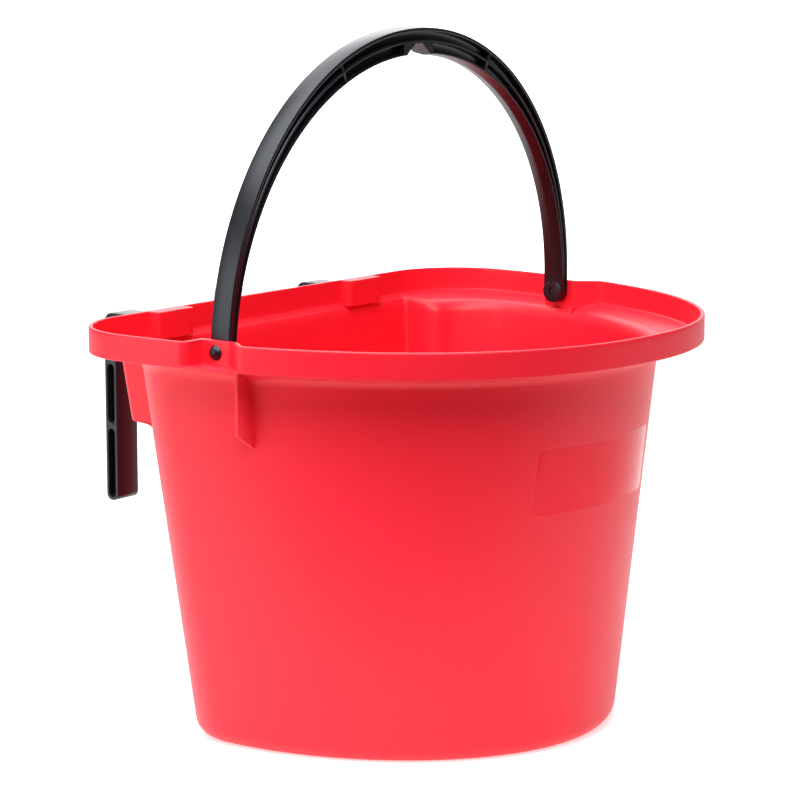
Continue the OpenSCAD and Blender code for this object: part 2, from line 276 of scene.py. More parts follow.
def boss_limit(x):
    """How far back the basin reaches in front of a hook's pocket."""
    off = abs(abs(x) - BOSS_X)
    if off > BOSS_HALF_W - EDGE_STOP:
        return RIM_BACK
    radius = 2.6
    into = max(0.0, off - (BOSS_HALF_W - radius))
    return BOSS_FRONT + radius - math.sqrt(max(0.0, radius * radius - into * into))


def pivot_hold(y):
    """1 beside the pivot, falling to 0 away from it."""
    return smooth((PIVOT_REACH - abs(y)) / PIVOT_FADE)


def band_edges(column):
    """Outer edge of the band without and with the pivot recess, and its inner edge."""
    plain = rim_point(column, 0)
    inner = rim_point(column, WALL)
    cut = plain
    if column[0] == "front" and abs(plain[1]) < PIVOT_REACH:
        cut = (outer_limit(plain[1], plain[0]), plain[1])
        inner = (inner_limit(plain[1], inner[0]), mix(inner[1], plain[1], pivot_hold(plain[1])))
    if column[0] == "back":
        inner = (inner[0], min(inner[1], boss_limit(plain[0])))
    return plain, cut, inner


def shoulder_point(column, share, z, inset):
    """A point between the mouth and the band, kept clear of the pivot block and bosses."""
    x0, y0 = box_point(column, z, inset)
    x1, y1 = rim_point(column, inset)
    x, y = mix(x0, x1, share), mix(y0, y1, share)
    station = rim_point(column, 0)[1]
    if column[0] == "front" and abs(station) < PIVOT_REACH:
        y = mix(y, station, pivot_hold(station) * smooth(share / HOLD_SHARE))
        if inset:
            x = min(x, inner_limit(station, x1))
    if column[0] == "back" and inset and z > BOSS_FOOT_Z:
        y = min(y, boss_limit(x1))
    return x, y


def under_box(column, z, inset, lift, edge_share):
    """A point of the box's underside. lift turns it out of the body's wall through the
    fillet, and edge_share takes it on to the box's lower edge. Both rounds shrink where the
    box barely stands out of the body."""
    x0, y0 = body_point(column, z, inset)
    x1, y1 = box_point(column, z, inset)
    reach = math.hypot(x1 - x0, y1 - y0)
    if reach < 1e-6:
        return x0, y0
    fillet = min(UNDERSIDE_R + inset, 0.6 * reach)
    edge = min(UNDERSIDE_EDGE_R, 0.2 * reach)
    out = fillet * (1 - math.cos(lift))
    if edge_share is not None:
        out = reach - edge * (1 - edge_share)
    return mix(x0, x1, out / reach), mix(y0, y1, out / reach)


rings = []


def add_ring(z, place):
    """One ring of the tub at height z; place gives each column's point."""
    half = []
    for column in columns:
        x, y = place(column)
        half.append(Vector((x, y, z)) * MM)
    mirrored = [Vector((-p.x, p.y, p.z)) for p in reversed(half[1:-1])]
    rings.append(half + mirrored)


def quarter(count):
    """Angles of a quarter turn, both ends included."""
    return [math.pi / 2 * i / count for i in range(count + 1)]


# Outside: rounded foot and tapered wall
for a in quarter(8):
    add_ring(FOOT_R * (1 - math.cos(a)),
             lambda c: body_point(c, FOOT_R * (1 - math.cos(a)), FOOT_R * (1 - math.sin(a))))
FILLET_Z = BOX_LOW_Z - UNDERSIDE_R
# How far the fillet under the box rises outside and inside, and where the box's rounds start
OUTSIDE_RISE = 10.2
INSIDE_RISE = 13.2
UNDERSIDE_Z = BOX_LOW_Z - 0.4
BOX_WALL_Z = BOX_LOW_Z + 1.6
SHELF_Z = BOX_LOW_Z + 2.7
INSIDE_WALL_Z = BOX_LOW_Z + 4.2
for z in steps(FOOT_R, FILLET_Z, 14)[1:]:
    add_ring(z, lambda c: body_point(c, z, 0))
# Outside: the box's underside, then the box's and the body's walls together
for a in quarter(7):
    z = FILLET_Z + OUTSIDE_RISE * math.sin(a)
    add_ring(z, lambda c: under_box(c, z, 0, a, None))
for a in quarter(4):
    z = UNDERSIDE_Z + UNDERSIDE_EDGE_R * (1 - math.cos(a))
    add_ring(z, lambda c: under_box(c, z, 0, 0, math.sin(a)))
for z in steps(BOX_WALL_Z, MOUTH_Z, 6)[1:]:
    add_ring(z, lambda c: box_point(c, z, 0))
# Outside: the wall turns out into the shoulder, which rises on to the band's lower edge
for a in quarter(9):
    z = MOUTH_Z + MOUTH_H * math.sin(a)
    add_ring(z, lambda c: shoulder_point(c, MOUTH_SHARE * (1 - math.cos(a)), z, 0))
for share in (0.55, 0.78):
    z = mix(MOUTH_Z + MOUTH_H, BAND_BOTTOM, (share - MOUTH_SHARE) / (1 - MOUTH_SHARE))
    add_ring(z, lambda c: shoulder_point(c, share, z, 0))
BAND_EDGE_R = 0.9
for a in quarter(4):
    add_ring(BAND_BOTTOM + BAND_EDGE_R * (1 - math.cos(a)),
             lambda c: rim_point(c, BAND_EDGE_R * (1 - math.sin(a))))
# Outside: the band, with the lip, floor and back wall of the pivot recess
RECESS_Z = 266.0
BAND_RINGS = (269.5, 273.5, 277)
recess_rings = [(RECESS_Z - 0.7, 0), (RECESS_Z - 0.2, 0.02), (RECESS_Z, 0.06),
                (RECESS_Z + 0.08, 0.96), (RECESS_Z + 0.3, 0.99), (RECESS_Z + 0.8, 1)]
for z, cut in recess_rings + [(z, 1) for z in BAND_RINGS]:
    add_ring(z, lambda c: tuple(mix(p, q, cut) for p, q in zip(*band_edges(c)[:2])))


def top_point(column, from_outer, from_inner):
    """A point on top of the band, a given distance in from one of its edges."""
    plain, outer, inner = band_edges(column)
    width = math.hypot(inner[0] - outer[0], inner[1] - outer[1])
    share = from_outer / width if from_inner is None else 1 - from_inner / width
    return mix(outer[0], inner[0], share), mix(outer[1], inner[1], share)


RIM_EDGE_R = 1.1
for a in quarter(5):
    add_ring(RIM_H - RIM_EDGE_R * (1 - math.sin(a)),
             lambda c: top_point(c, RIM_EDGE_R * (1 - math.cos(a)), None))
RIM_INNER_R = 0.8
for a in reversed(quarter(5)):
    add_ring(RIM_H - RIM_INNER_R * (1 - math.sin(a)),
             lambda c: top_point(c, None, RIM_INNER_R * (1 - math.cos(a))))
# Inside: the band, the ledge and the shoulder down to the mouth
LEDGE_ROUND_Z = 266.6
for z in (*reversed(BAND_RINGS), LEDGE_ROUND_Z):
    add_ring(z, lambda c: band_edges(c)[2])
for z, share in ((265.7, 0.995), (265.1, 0.975), (264.7, 0.94), (264.5, 0.9)):
    add_ring(z, lambda c: shoulder_point(c, share, z, WALL))
for share in (0.78, 0.65, 0.58, 0.56, 0.45):
    z = mix(MOUTH_Z + MOUTH_H, LEDGE_Z, (share - MOUTH_SHARE) / (1 - MOUTH_SHARE))
    add_ring(z, lambda c: shoulder_point(c, share, z, WALL))
for a in reversed(quarter(9)):
    z = MOUTH_Z + MOUTH_H * math.sin(a)
    add_ring(z, lambda c: shoulder_point(c, MOUTH_SHARE * (1 - math.cos(a)), z, WALL))
# Inside: walls, the box's shelf, and the round over its front edge
for z in reversed(steps(INSIDE_WALL_Z, MOUTH_Z, 6)):
    add_ring(z, lambda c: box_point(c, z, WALL))
for a in reversed(quarter(3)):
    z = SHELF_Z + UNDERSIDE_EDGE_R * (1 - math.cos(a)) / 2
    add_ring(z, lambda c: under_box(c, z, WALL, 0, math.sin(a)))
for a in reversed(quarter(9)):
    z = FILLET_Z + INSIDE_RISE * math.sin(a)
    add_ring(z, lambda c: under_box(c, z, WALL, a, None))
for z in reversed(steps(FLOOR_T + FOOT_R - WALL, FILLET_Z, 14)):
    add_ring(z, lambda c: body_point(c, z, WALL))
FLOOR_R = FOOT_R - WALL
for a in reversed(quarter(8)[:-1]):
    z = FLOOR_T + FLOOR_R * (1 - math.cos(a))
    add_ring(z, lambda c: body_point(c, z, WALL + FLOOR_R * (1 - math.sin(a))))


def select_only(piece):
    """Makes a piece the only selected one and the active one."""
    bpy.ops.object.select_all(action="DESELECT")
    piece.select_set(True)
    bpy.context.view_layer.objects.active = piece


def grow(name, ring_list):
    """Starts from a circle and extrudes it once for each ring, setting every new ring on its
    outline. Both ends are filled."""
    bpy.ops.object.select_all(action="DESELECT")
    bpy.ops.mesh.primitive_circle_add(vertices=len(ring_list[0]), fill_type="NOTHING")
    piece = bpy.context.object
    piece.name = piece.data.name = name
    bpy.ops.object.mode_set(mode="EDIT")
    mesh = bmesh.from_edit_mesh(piece.data)
    layer = mesh.verts.layers.int.new("column")
    for vertex in mesh.verts:
        vertex[layer] = vertex.index
        vertex.co = ring_list[0][vertex.index]
    bmesh.update_edit_mesh(piece.data)
    bpy.ops.mesh.select_all(action="SELECT")
    bpy.ops.mesh.duplicate()
    bpy.ops.mesh.edge_face_add()
    bpy.ops.mesh.select_all(action="DESELECT")
    mesh = bmesh.from_edit_mesh(piece.data)
    mesh.verts.ensure_lookup_table()
    for edge in mesh.edges:
        edge.select = not edge.link_faces
    bmesh.update_edit_mesh(piece.data)
    for ring in ring_list[1:]:
        bpy.ops.mesh.extrude_edges_move()
        mesh = bmesh.from_edit_mesh(piece.data)
        layer = mesh.verts.layers.int["column"]
        for vertex in mesh.verts:
            if vertex.select:
                vertex.co = ring[vertex[layer]]
        bmesh.update_edit_mesh(piece.data)
    bpy.ops.mesh.edge_face_add()
    bpy.ops.mesh.select_all(action="SELECT")
    bpy.ops.mesh.remove_doubles(threshold=1e-6)
    bpy.ops.mesh.select_all(action="SELECT")
    bpy.ops.mesh.normals_make_consistent(inside=False)
    bpy.ops.object.mode_set(mode="OBJECT")
    return piece


def combine(piece, other, operation):
    """Adds or cuts away another solid, which is then removed."""
    modifier = piece.modifiers.new("combine", "BOOLEAN")
    modifier.operation = operation
    modifier.solver = "EXACT"
    modifier.object = other
    select_only(piece)
    bpy.ops.object.modifier_apply(modifier=modifier.name)
    bpy.data.objects.remove(other)


def slab(name, outline, axis, low, high):
    """A solid with a flat outline, extruded along an axis from low to high. The outline gives
    the other two coordinates in cyclic order."""
    bpy.ops.object.select_all(action="DESELECT")
    bpy.ops.mesh.primitive_circle_add(vertices=len(outline), fill_type="NGON")
    piece = bpy.context.object
    piece.name = piece.data.name = name
    others = [(axis + 1) % 3, (axis + 2) % 3]
    for vertex, point in zip(piece.data.vertices, outline):
        vertex.co[axis] = low * MM
        vertex.co[others[0]] = point[0] * MM
        vertex.co[others[1]] = point[1] * MM
    bpy.ops.object.mode_set(mode="EDIT")
    bpy.ops.mesh.select_all(action="SELECT")
    offset = [0, 0, 0]
    offset[axis] = (high - low) * MM
    bpy.ops.mesh.extrude_region_move(TRANSFORM_OT_translate={"value": offset})
    bpy.ops.mesh.select_all(action="SELECT")
    bpy.ops.mesh.normals_make_consistent(inside=False)
    bpy.ops.object.mode_set(mode="OBJECT")
    return piece


def soften(piece, width, segments, angle=30):
    """Rounds every edge that turns by more than an angle, in degrees."""
    bevel = piece.modifiers.new("soft edges", "BEVEL")
    bevel.width = width * MM
    bevel.segments = segments
    bevel.limit_method = "ANGLE"
    bevel.angle_limit = math.radians(angle)
    select_only(piece)
    bpy.ops.object.modifier_apply(modifier=bevel.name)


tub = grow("tub_moulding", rings)

# A thin gusset on each side, just in front of the pivot
RIB_Y = -16.0
RIB_T = 3.0
RIB_H = 54.5
RIB_SIDE_H = 43.0
RIB_EDGE_R = 0.4
# How deep the rib reaches into the wall, and into the band and the recess's floor
RIB_SINK = 1.4
RIB_LAP = 1
rib_low_z = BAND_BOTTOM - RIB_H
rib_mid_z = BAND_BOTTOM - RIB_SIDE_H
rib_top_z = BAND_BOTTOM - RIB_LAP
rib_outer_x = HEAD_PLANE - RIB_LAP


def wall_at(z):
    """Half width of the body's outside at the ribs, a little into the wall."""
    half_w, front, back, corner = body_sizes(z, 0)
    yc = back - corner
    share = ((yc - RIB_Y) / (front + yc)) ** BODY_SQUARE
    return half_w * (1 - share) ** (1 / BODY_SQUARE) - RIB_SINK


for side in (-1, 1):
    outline = [(rib_top_z, side * rib_outer_x), (rib_mid_z, side * rib_outer_x),
               (rib_low_z, side * wall_at(rib_low_z)), (rib_top_z, side * wall_at(rib_top_z))]
    rib = slab("rib", outline, 1, RIB_Y - RIB_T / 2, RIB_Y + RIB_T / 2)
    soften(rib, RIB_EDGE_R, 2)
    combine(tub, rib, "UNION")

# Bores for the studs, and the pockets that the hooks plug into
BORE_R = 3.06
# How far a cut runs past the faces that it goes through
CUT_PAST = 2
HOOK_GAP = 0.3
HOOK_HALF_W = 10.35
HOOK_TOP = 276.0
TENON_FRONT = 116.3
TONGUE_FRONT = 120.2
pocket_back = RIM_BACK + 3
for side in (-1, 1):
    bore_outline = [(BORE_R * math.cos(a), PIVOT_Z + BORE_R * math.sin(a))
                    for a in steps(0, 2 * math.pi, 32)]
    low, high = sorted((side * (PIVOT_PLANE - CUT_PAST), side * (HEAD_PLANE + CUT_PAST)))
    combine(tub, slab("bore", bore_outline, 0, low, high), "DIFFERENCE")
    pocket_outline = [(TENON_FRONT - HOOK_GAP, HOOK_TOP), (TENON_FRONT - HOOK_GAP, LEDGE_Z),
                      (TONGUE_FRONT - HOOK_GAP, LEDGE_Z), (TONGUE_FRONT - HOOK_GAP, MOUTH_Z),
                      (pocket_back, MOUTH_Z), (pocket_back, HOOK_TOP)]
    half_w = HOOK_HALF_W + HOOK_GAP
    combine(tub, slab("pocket", pocket_outline, 0, side * BOSS_X - half_w,
                      side * BOSS_X + half_w), "DIFFERENCE")


def linear(hex_colour):
    """Scene-linear colour of an sRGB hex value."""
    values = [int(hex_colour[i:i + 2], 16) / 255 for i in (0, 2, 4)]
    return [v / 12.92 if v <= 0.04045 else ((v + 0.055) / 1.055) ** 2.4 for v in values] + [1.0]


def add_node(tree, kind, settings=None, **links):
    """A node with its settings. Each link names an input and gives a value, a socket, or a
    node that stands for its first output."""
    made = tree.nodes.new(kind)
    for key, value in (settings or {}).items():
        setattr(made, key, value)
    for key, value in links.items():
        number = key.lstrip("_")
        target = made.inputs[int(number) if number.isdigit() else key.replace("_", " ")]
        if isinstance(value, bpy.types.Node):
            value = value.outputs[0]
        if isinstance(value, bpy.types.NodeSocket):
            tree.links.new(value, target)
        else:
            target.default_value = value
    return made


def new_material(name):
    """An empty material and its node tree."""
    material = bpy.data.materials.new(name)
    material.use_nodes = True
    material.node_tree.nodes.clear()
    return material, material.node_tree


# Red polypropylene, moulded in a fine spark-eroded tool, so satin all over. One rounded
# rectangle on the front is polished in the tool for a label, and lies a hair lower.
PANEL_HALF_W = 62.3
PANEL_LOW_Z = 166.0
PANEL_HIGH_Z = 210.0
PANEL_R = 5.0
# Half the width of the soft step round the panel, and how far forward its wall begins
PANEL_EDGE = 0.35
PANEL_SIDE_Y = -50.0
# How far the panel lies below the grained skin, as a multiple of the grain's height
PANEL_SINK = 8.0
SATIN_ROUGHNESS = 0.42
POLISHED_ROUGHNESS = 0.1
SATIN_SHINE = 0.35
POLISHED_SHINE = 0.16
# Spacing of the grain in millimetres
TUB_GRAIN = 0.5
red, tree = new_material("red_polypropylene")
coords = add_node(tree, "ShaderNodeTexCoord")
split = add_node(tree, "ShaderNodeSeparateXYZ", _0=coords.outputs["Object"])
panel_mid_z = (PANEL_LOW_Z + PANEL_HIGH_Z) / 2
panel_half_h = (PANEL_HIGH_Z - PANEL_LOW_Z) / 2
# Distance from the panel's middle rectangle, which is PANEL_R inside its outline
past = []
for axis, middle, reach in ((0, 0.0, PANEL_HALF_W), (2, panel_mid_z, panel_half_h)):
    away = add_node(tree, "ShaderNodeMath", {"operation": "SUBTRACT"}, _0=split.outputs[axis],
                    _1=middle * MM)
    off = add_node(tree, "ShaderNodeMath", {"operation": "ABSOLUTE"}, _0=away)
    beyond = add_node(tree, "ShaderNodeMath", {"operation": "SUBTRACT"}, _0=off,
                      _1=(reach - PANEL_R) * MM)
    outside = add_node(tree, "ShaderNodeMath", {"operation": "MAXIMUM"}, _0=beyond, _1=0.0)
    past.append(add_node(tree, "ShaderNodeMath", {"operation": "POWER"}, _0=outside, _1=2.0))
squared = add_node(tree, "ShaderNodeMath", {"operation": "ADD"}, _0=past[0], _1=past[1])
distance = add_node(tree, "ShaderNodeMath", {"operation": "SQRT"}, _0=squared)
near_panel = add_node(tree, "ShaderNodeMapRange", {"clamp": True}, _0=distance,
                      _1=(PANEL_R + PANEL_EDGE) * MM, _2=(PANEL_R - PANEL_EDGE) * MM,
                      _3=0.0, _4=1.0)
# Only the outside of the front wall has the panel
in_front = add_node(tree, "ShaderNodeMath", {"operation": "LESS_THAN"}, _0=split.outputs[1],
                    _1=PANEL_SIDE_Y * MM)
skin = add_node(tree, "ShaderNodeNewGeometry")
faces = add_node(tree, "ShaderNodeSeparateXYZ", _0=skin.outputs["Normal"])
outward = add_node(tree, "ShaderNodeMath", {"operation": "LESS_THAN"}, _0=faces.outputs[1],
                   _1=0.0)
front_skin = add_node(tree, "ShaderNodeMath", {"operation": "MULTIPLY"}, _0=in_front,
                      _1=outward)
panel = add_node(tree, "ShaderNodeMath", {"operation": "MULTIPLY"}, _0=near_panel,
                 _1=front_skin)
grain = add_node(tree, "ShaderNodeTexNoise", None, Vector=coords.outputs["Object"],
                 Scale=1 / (TUB_GRAIN * MM), Detail=2.0)
plain_share = add_node(tree, "ShaderNodeMath", {"operation": "SUBTRACT"}, _0=1.0, _1=panel)
grain_height = add_node(tree, "ShaderNodeMath", {"operation": "MULTIPLY"}, _0=grain,
                        _1=plain_share)
height = add_node(tree, "ShaderNodeMath", {"operation": "MULTIPLY_ADD"}, _0=panel,
                  _1=-PANEL_SINK, _2=grain_height)
bump = add_node(tree, "ShaderNodeBump", None, Strength=0.35, Distance=0.02 * MM, Height=height)
roughness = add_node(tree, "ShaderNodeMapRange", None, _0=panel, _3=SATIN_ROUGHNESS,
                     _4=POLISHED_ROUGHNESS)
shine = add_node(tree, "ShaderNodeMapRange", None, _0=panel, _3=SATIN_SHINE, _4=POLISHED_SHINE)
surface = add_node(tree, "ShaderNodeBsdfPrincipled", None, Base_Color=linear("F01E32"),
                   Roughness=roughness.outputs[0], IOR=1.49, Specular_IOR_Level=shine.outputs[0],
                   Normal=bump.outputs[0])
add_node(tree, "ShaderNodeOutputMaterial", None, Surface=surface.outputs[0])


SMOOTH_BELOW = 32


def finish_piece(piece, material):
    """Smooth shading that keeps the edges sharper than SMOOTH_BELOW degrees, and one material."""
    piece.data.materials.clear()
    piece.data.materials.append(material)
    select_only(piece)
    bpy.ops.object.shade_smooth_by_angle(angle=math.radians(SMOOTH_BELOW))


finish_piece(tub, red)
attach(tub, "root")
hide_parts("tub")

# ---------------------------------------------------------------------------
# Handle
# The real bail is one black moulding: a web with an outer flange, a middle rib and a crowned
# inner flange, solid round ends, two cross ribs and a notch at the top to hang it by.
# It is swept along its arch section by section, and leans forward a little at rest.
# ---------------------------------------------------------------------------
HANDLE_HALF_W = 188.0
HANDLE_H = 199.6
HANDLE_SQUARE = 2.06
HANDLE_LEAN = 2.5
LEG_T = 8.7
CROWN_T = 18.9
HANDLE_W = 16.2
FLANGE_T = 2.6
WEB_HALF = 1.2
MIDDLE_SHARE = 0.48
MIDDLE_HALF = 1.0
CROWNING = 1.3
HANDLE_STEPS = 180
EYE_R = 3.0
END_SETBACK = 0.3
END_EDGE_R = 0.7


def handle_depth(a):
    """Thickness of the handle across the arch, thin at the ends and thick at the top."""
    return mix(LEG_T, CROWN_T, math.sin(a) ** 1.5)


def handle_point(a, depth, y):
    """A point of the handle at angle a round the arch, at a depth below its outer face."""
    across = -1 if math.cos(a) < 0 else 1
    x = across * abs(math.cos(a)) ** (2 / HANDLE_SQUARE) * (HANDLE_HALF_W - depth)
    z = PIVOT_Z + max(0.0, math.sin(a)) ** (2 / HANDLE_SQUARE) * (HANDLE_H - depth)
    return Vector((x, y, z)) * MM


def handle_section(a):
    """Depth and half width of each corner of the section, from the outer face to the inner
    face on one side. Every flange has rounded tips and small fillets at its root."""
    half = HANDLE_W / 2 - 0.5 * math.sin(a)
    inner = handle_depth(a)
    middle = MIDDLE_SHARE * inner
    above = min(0.7, 0.3 * (middle - MIDDLE_HALF - FLANGE_T))
    below = min(0.7, 0.3 * (inner - FLANGE_T - middle - MIDDLE_HALF))
    rib = half - 0.5
    root = WEB_HALF
    return [
        (0, 0), (0, half - 0.9), (0.12, half - 0.45), (0.45, half - 0.12), (0.9, half),
        (FLANGE_T - 0.6, half), (FLANGE_T - 0.15, half - 0.15), (FLANGE_T, half - 0.6),
        (FLANGE_T, root + above), (FLANGE_T + 0.3 * above, root + 0.3 * above),
        (FLANGE_T + above, root),
        (middle - MIDDLE_HALF - above, root),
        (middle - MIDDLE_HALF - 0.3 * above, root + 0.3 * above),
        (middle - MIDDLE_HALF, root + above),
        (middle - MIDDLE_HALF, rib - 0.6), (middle - 0.7 * MIDDLE_HALF, rib - 0.15),
        (middle, rib), (middle + 0.7 * MIDDLE_HALF, rib - 0.15),
        (middle + MIDDLE_HALF, rib - 0.6),
        (middle + MIDDLE_HALF, root + below),
        (middle + MIDDLE_HALF + 0.3 * below, root + 0.3 * below),
        (middle + MIDDLE_HALF + below, root),
        (inner - FLANGE_T - below, root), (inner - FLANGE_T - 0.3 * below, root + 0.3 * below),
        (inner - FLANGE_T, root + below),
        (inner - FLANGE_T, half - 0.6), (inner - FLANGE_T + 0.15, half - 0.15),
        (inner - FLANGE_T + 0.6, half),
        (inner - CROWNING - 0.5, half), (inner - CROWNING - 0.12, half - 0.2),
        (inner - CROWNING + 0.1, half - 0.7),
        (inner - 0.1, 0.6), (inner, 0)]


handle_rings = []
for i in range(HANDLE_STEPS + 1):
    a = math.pi * i / HANDLE_STEPS
    section = handle_section(a)
    points = [handle_point(a, depth, y) for depth, y in section]
    points += [handle_point(a, depth, -y) for depth, y in reversed(section[1:-1])]
    handle_rings.append(points)
handle = grow("handle_moulding", handle_rings)

# Solid round ends, with eyes for the studs
for side in (-1, 1):
    for radius, low, high, operation in (
            (HANDLE_W / 2, HANDLE_HALF_W - LEG_T + END_SETBACK, HANDLE_HALF_W, "UNION"),
            (EYE_R, HANDLE_HALF_W - LEG_T - CUT_PAST, HANDLE_HALF_W + CUT_PAST, "DIFFERENCE")):
        outline = [(radius * math.cos(a), PIVOT_Z + radius * math.sin(a))
                   for a in steps(0, 2 * math.pi, 56)]
        ends = sorted((side * low, side * high))
        disc = slab("end", outline, 0, ends[0], ends[1])
        if operation == "UNION":
            soften(disc, END_EDGE_R, 3)
        combine(handle, disc, operation)

# A thin cross rib through both channels, on each side of the crown. Its angle is the arch's
# parameter in degrees, from 0 at one end to 90 at the crown.
CROSS_RIB_A = 64.5
CROSS_RIB_HALF_A = 0.35
CROSS_RIB_HALF_W = 7.1
CROSS_RIB_OUTER = 1.2
CROSS_RIB_INNER = 1.6
for centre in (CROSS_RIB_A, 180 - CROSS_RIB_A):
    outline = []
    for turn, depth_share in ((-1, 0), (1, 0), (1, 1), (-1, 1)):
        a = math.radians(centre + turn * CROSS_RIB_HALF_A)
        depth = mix(CROSS_RIB_OUTER, handle_depth(a) - CROSS_RIB_INNER, depth_share)
        point = handle_point(a, depth, 0) / MM
        outline.append((point.z, point.x))
    rib = slab("cross_rib", outline, 1, -CROSS_RIB_HALF_W, CROSS_RIB_HALF_W)
    combine(handle, rib, "UNION")

# The hanging notch: a flat-topped V through the inner flange, with its own thin walls
NOTCH_HALF = 13.8
NOTCH_DEPTH = 8.6
NOTCH_WALL = 2.2
NOTCH_ROOF = 0.4
NOTCH_FLUSH = 0.7
NOTCH_BELOW = 3
NOTCH_WALL_HALF_W = 7.3
NOTCH_CUT_HALF_W = 12
NOTCH_FLAT = NOTCH_HALF / 4
inner_top = PIVOT_Z + HANDLE_H - CROWN_T
slope = (NOTCH_HALF - NOTCH_FLAT) / NOTCH_DEPTH
wall_half = NOTCH_HALF + NOTCH_WALL
wall_top = inner_top + NOTCH_DEPTH + NOTCH_ROOF
wall_low = inner_top + NOTCH_FLUSH
wall_outline = [(wall_top, wall_half), (wall_low, wall_half),
                (wall_low, -wall_half), (wall_top, -wall_half)]
notch_wall = slab("notch_wall", wall_outline, 1, -NOTCH_WALL_HALF_W, NOTCH_WALL_HALF_W)
combine(handle, notch_wall, "UNION")
notch_outline = [(inner_top + NOTCH_DEPTH, NOTCH_FLAT),
                 (inner_top - NOTCH_BELOW, NOTCH_HALF + NOTCH_BELOW * slope),
                 (inner_top - NOTCH_BELOW, -NOTCH_HALF - NOTCH_BELOW * slope),
                 (inner_top + NOTCH_DEPTH, -NOTCH_FLAT)]
notch = slab("notch", notch_outline, 1, -NOTCH_CUT_HALF_W, NOTCH_CUT_HALF_W)
combine(handle, notch, "DIFFERENCE")

select_only(handle)
bpy.ops.object.mode_set(mode="EDIT")
bpy.ops.mesh.select_all(action="SELECT")
bpy.ops.transform.rotate(value=-math.radians(HANDLE_LEAN), orient_axis="X",
                         center_override=(0, 0, PIVOT_Z * MM))
bpy.ops.object.mode_set(mode="OBJECT")

# Black polypropylene, moulded in a smoother tool than the tub, so a little glossier
# Spacing of the grain in millimetres
HANDLE_GRAIN = 0.6
black, tree = new_material("black_polypropylene")
coords = add_node(tree, "ShaderNodeTexCoord")
grain = add_node(tree, "ShaderNodeTexNoise", None, Vector=coords.outputs["Object"],
                 Scale=1 / (HANDLE_GRAIN * MM), Detail=2.0)
bump = add_node(tree, "ShaderNodeBump", None, Strength=0.25, Distance=0.02 * MM,
                Height=grain.outputs[0])
surface = add_node(tree, "ShaderNodeBsdfPrincipled", None, Base_Color=linear("101015"),
                   Roughness=0.34, IOR=1.49, Specular_Tint=(0.84, 0.9, 1.0, 1.0),
                   Normal=bump.outputs[0])
add_node(tree, "ShaderNodeOutputMaterial", None, Surface=surface.outputs[0])

finish_piece(handle, black)
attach(handle, "bail")
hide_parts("handle")

# ---------------------------------------------------------------------------
# Studs
# Each end of the handle turns on a black moulded stud with a domed head. Its shank passes
# through the tub's wall and is pressed into the handle's eye.
# ---------------------------------------------------------------------------
HEAD_R = 5.0
HEAD_H = 3.4
STUD_R = 3.0
STUD_GAP = 0.2
STUD_SIDES = 48
SHANK_CHAMFER = 0.5
# How far the shank's end stays inside the handle's inner face
SHANK_SHORT = 1
dome_r = (HEAD_R * HEAD_R + HEAD_H * HEAD_H) / (2 * HEAD_H)
dome_a = math.asin(HEAD_R / dome_r)
shank = HEAD_PLANE - HANDLE_HALF_W + STUD_GAP + LEG_T - SHANK_SHORT
stud_profile = [(0.4, -shank), (STUD_R - SHANK_CHAMFER, -shank),
                (STUD_R, -shank + SHANK_CHAMFER), (STUD_R, 0),
                (HEAD_R - 0.3, 0), (HEAD_R - 0.02, 0.15)]
for a in reversed(steps(0, dome_a, 12)[1:]):
    stud_profile.append((dome_r * math.sin(a), HEAD_H - dome_r * (1 - math.cos(a))))
for side, name in ((-1, "stud_left"), (1, "stud_right")):
    stud_rings = []
    for radius, along in stud_profile:
        x = side * (HEAD_PLANE + STUD_GAP + along)
        stud_rings.append([Vector((x, radius * math.cos(a), PIVOT_Z + radius * math.sin(a))) * MM
                           for a in steps(0, 2 * math.pi, STUD_SIDES)])
    stud = grow(name + "_pin", stud_rings)
    finish_piece(stud, black)
    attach(stud, "bail")
    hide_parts(name)

# ---------------------------------------------------------------------------
# Hooks
# Two black moulded hooks plug into pockets in the tub's back band and drop over a rail.
# Each has an I-shaped section: a web between two edge flanges, bridged once in its length.
# ---------------------------------------------------------------------------
HOOK_BACK = 171.7
HOOK_LEG_T = 10.6
HOOK_ARM_H = 9.5
HOOK_LEG = 132.0
HOOK_TONGUE = 50.0
HOOK_WEB = 3.0
HOOK_TOP_R = 7.0
HOOK_FOOT_R = 4.6
HOOK_INNER_R = 3.0
HOOK_EDGE_R = 0.35
POCKET_RIM = 2.2
BRIDGE_HALF = 2
BRIDGE_SHARE = 0.4
SLOT_TOP_SHARE = 0.73
foot_z = HOOK_TOP - HOOK_LEG
arm_z = HOOK_TOP - HOOK_ARM_H
leg_front = HOOK_BACK - HOOK_LEG_T


def arc(y, z, radius, a0, a1, count=6):
    """Points of an arc from angle a0 to angle a1, in degrees."""
    turn = [math.radians(mix(a0, a1, i / count)) for i in range(count + 1)]
    return [(y + radius * math.cos(a), z + radius * math.sin(a)) for a in turn]


hook_outline = [(TENON_FRONT, HOOK_TOP), (TENON_FRONT, LEDGE_Z + HOOK_GAP),
                (TONGUE_FRONT, LEDGE_Z + HOOK_GAP), (TONGUE_FRONT, HOOK_TOP - HOOK_TONGUE),
                (RIM_BACK, HOOK_TOP - HOOK_TONGUE), (RIM_BACK, arm_z)]
hook_outline += arc(leg_front - HOOK_INNER_R, arm_z - HOOK_INNER_R, HOOK_INNER_R, 90, 0)
hook_outline += arc(leg_front + HOOK_FOOT_R, foot_z + HOOK_FOOT_R, HOOK_FOOT_R, 180, 270)
hook_outline += arc(HOOK_BACK - HOOK_FOOT_R, foot_z + HOOK_FOOT_R, HOOK_FOOT_R, -90, 0)
hook_outline += arc(HOOK_BACK - HOOK_TOP_R, HOOK_TOP - HOOK_TOP_R, HOOK_TOP_R, 0, 90)
pocket_half = HOOK_LEG_T / 2 - POCKET_RIM
